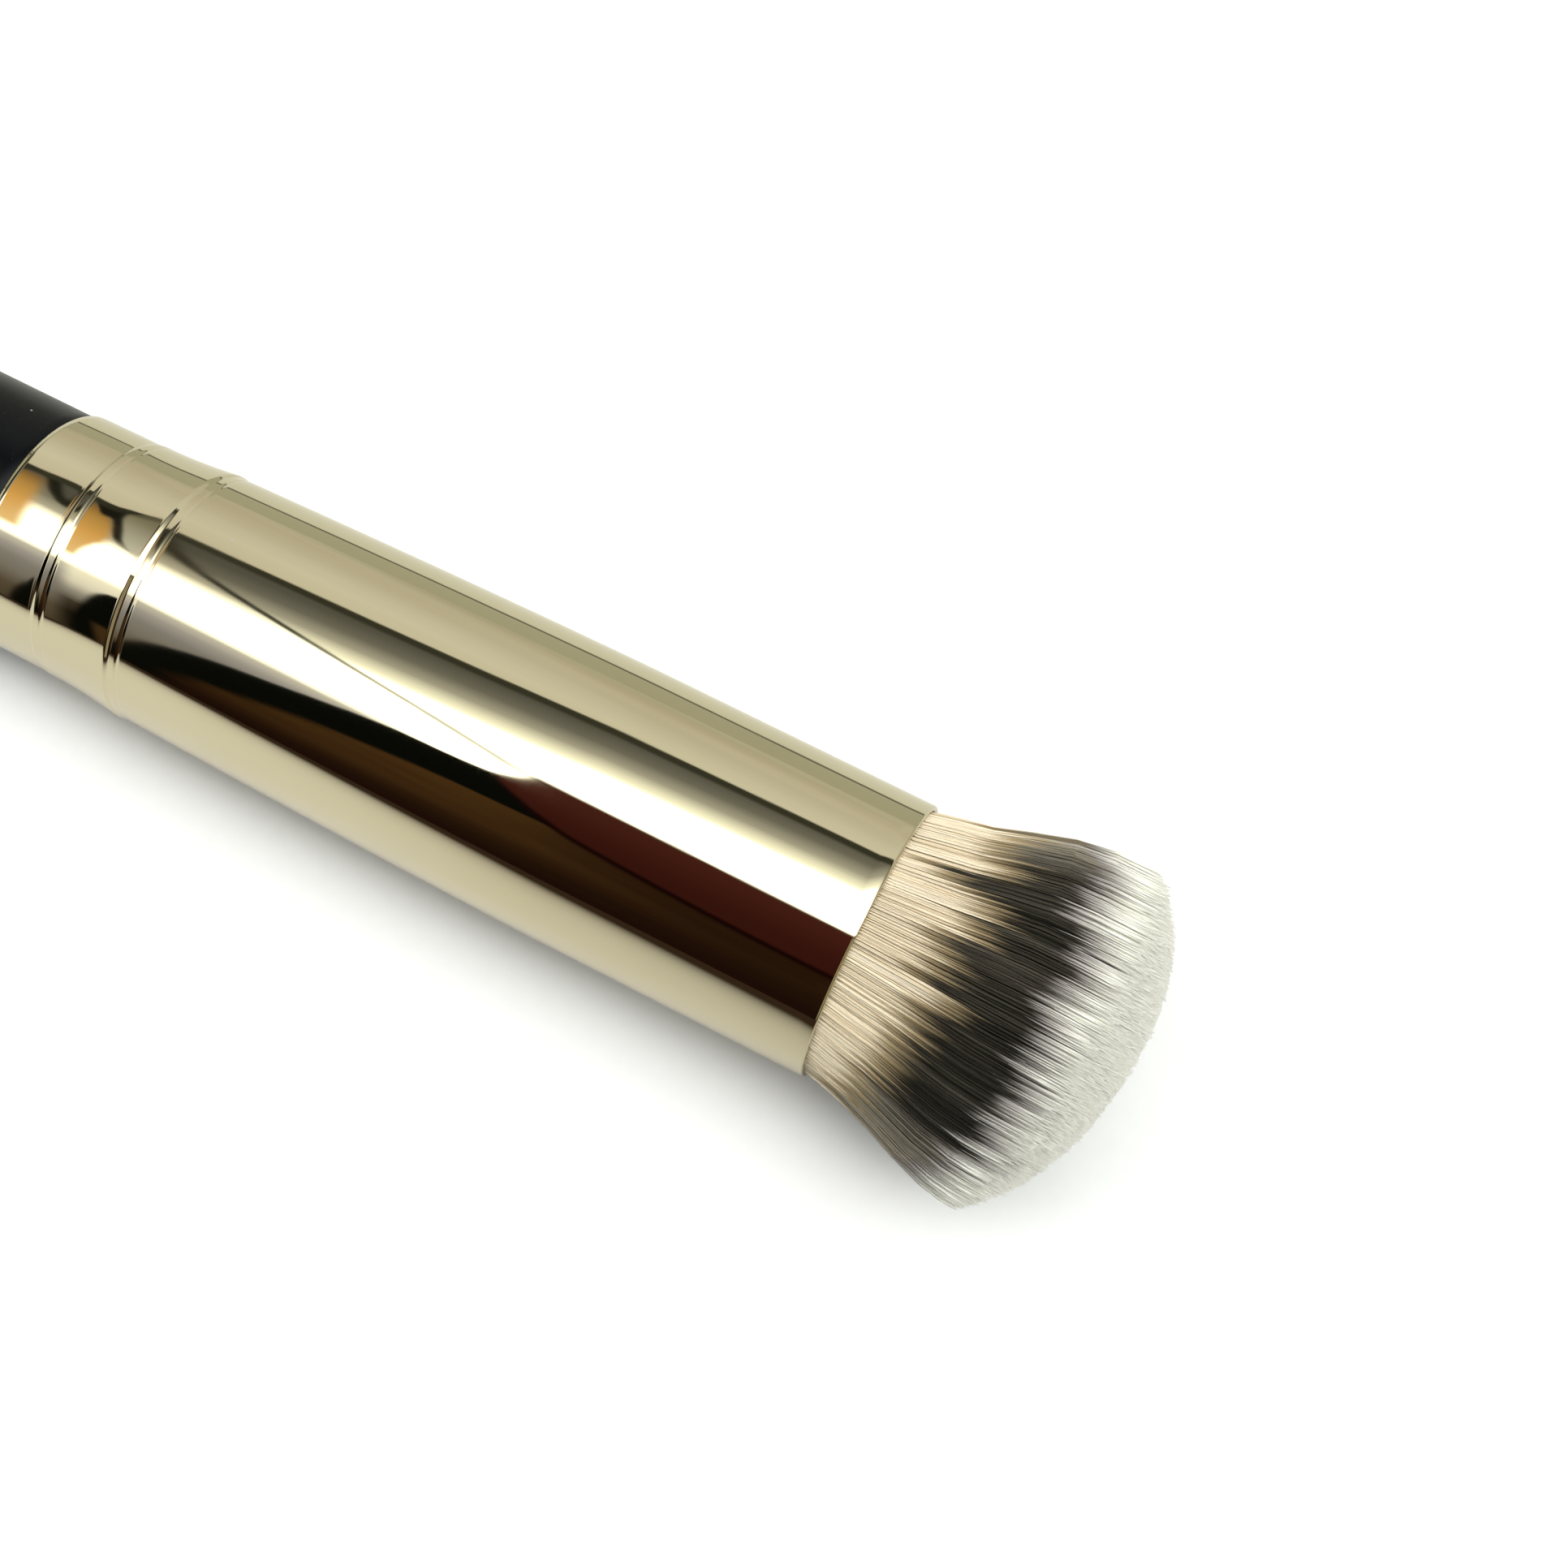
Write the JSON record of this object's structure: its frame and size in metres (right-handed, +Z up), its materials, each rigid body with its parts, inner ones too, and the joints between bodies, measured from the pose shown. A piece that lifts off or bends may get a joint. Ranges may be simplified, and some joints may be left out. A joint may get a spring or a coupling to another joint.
{
  "type": "foundation brush",
  "caption": "Foundation brush with a dense slanted dome of three-tone fibres, a crimped champagne-gold ferrule and a slim black lacquered handle, lying on its side.",
  "frame": {"origin": "on the table plane, below the middle of the lying brush", "axes": "+X towards the fibre tips, +Z up, +Y to the side on which the slanted dome is longer; the brush's own axis leans 2.2 degrees up towards the head"},
  "size_m": [0.1726, 0.0253, 0.0251],
  "materials": {
    "bare_wood": "bare turned birch",
    "black_lacquer": "satin black lacquer",
    "clear_glue": "set wood glue",
    "plated_brass": "polished champagne-gold plating",
    "amber_potting": "set epoxy",
    "cotton_thread": "twisted cotton",
    "dyed_fibre": "soft synthetic fibre, cream at the root, dark grey-brown in the middle and off-white at the tip"
  },
  "bodies": {
    "root": {"handle_core": "bare_wood", "handle_lacquer": "black_lacquer", "tenon_glue": "clear_glue", "ferrule": "plated_brass", "root_plug": "amber_potting", "binding_thread": "cotton_thread", "bristle_tuft": "dyed_fibre"}
  },
  "joints": []
}
